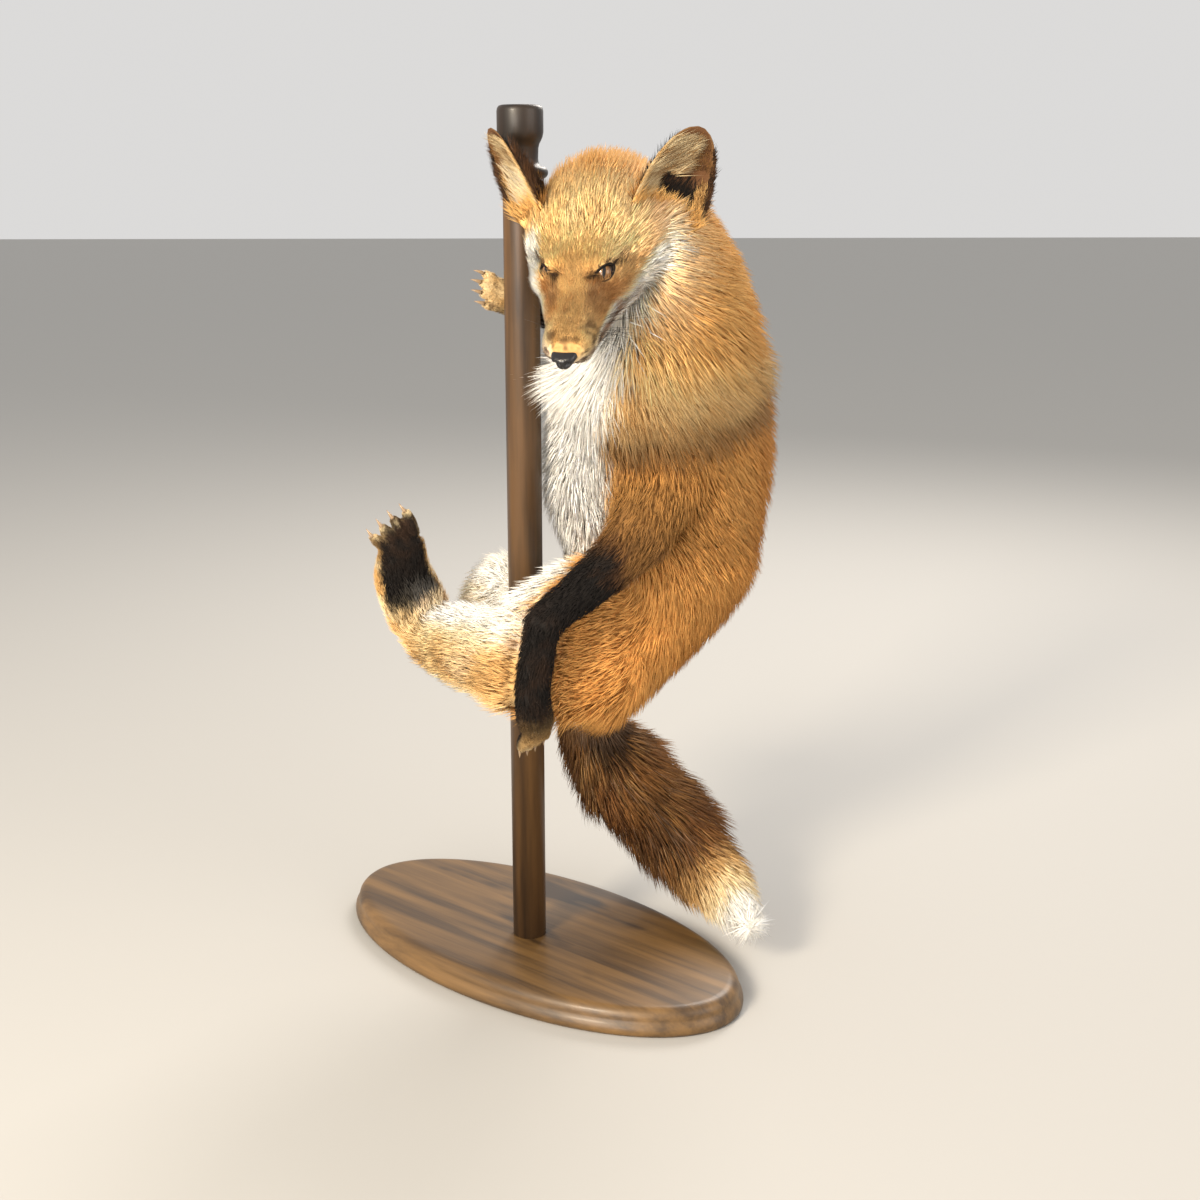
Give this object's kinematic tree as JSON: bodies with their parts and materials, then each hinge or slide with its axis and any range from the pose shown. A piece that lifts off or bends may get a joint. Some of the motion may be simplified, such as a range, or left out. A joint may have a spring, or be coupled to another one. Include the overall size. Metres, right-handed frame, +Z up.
{
  "type": "taxidermy red fox on a pole stand",
  "caption": "Mounted red fox hugging a turned wooden pole on an oval wooden base, head bowed, tail hanging behind; a still display specimen.",
  "frame": {"origin": "underside of the oval base, on the axis of the pole", "axes": "+Z up along the pole; +Y away from the side that the fox's face looks to; +X towards the fox's trunk, which hangs beside the pole"},
  "size_m": [0.4121, 0.3575, 0.787],
  "materials": {
    "stained_wood": "dark brown stain under a satin varnish, with grain and knots",
    "eye_glass": "amber glass eye with a dark slit pupil",
    "nose_leather": "black pebbled nose pad, slightly glossy",
    "fur_gold": "short golden fur",
    "fur_orange": "long rusty orange winter fur",
    "fur_white": "soft white fur",
    "fur_black": "short black fur",
    "fur_brown": "brown fur with grey and black tips",
    "fur_cream": "cream fur"
  },
  "bodies": {
    "root": {"stand_base": "stained_wood", "stand_pole": "stained_wood", "eye_left": "eye_glass", "eye_right": "eye_glass", "nose": "nose_leather", "head": "fur_gold", "muzzle": "fur_gold", "lower_jaw": "fur_white", "ear_left": "fur_black", "ear_right": "fur_black", "neck": "fur_orange", "chest": "fur_orange", "belly": "fur_orange", "upper_arm_left": "fur_orange", "forearm_left": "fur_brown", "forepaw_left": "fur_black", "thigh_left": "fur_orange", "shank_left": "fur_cream", "hindfoot_left": "fur_black", "thigh_right": "fur_white", "shank_right": "fur_orange", "hindfoot_right": "fur_black", "upper_arm_right": "fur_orange", "forearm_right": "fur_black", "forepaw_right": "fur_black", "tail_root": "fur_orange", "tail_middle": "fur_brown", "tail_tip": "fur_white"}
  },
  "joints": []
}
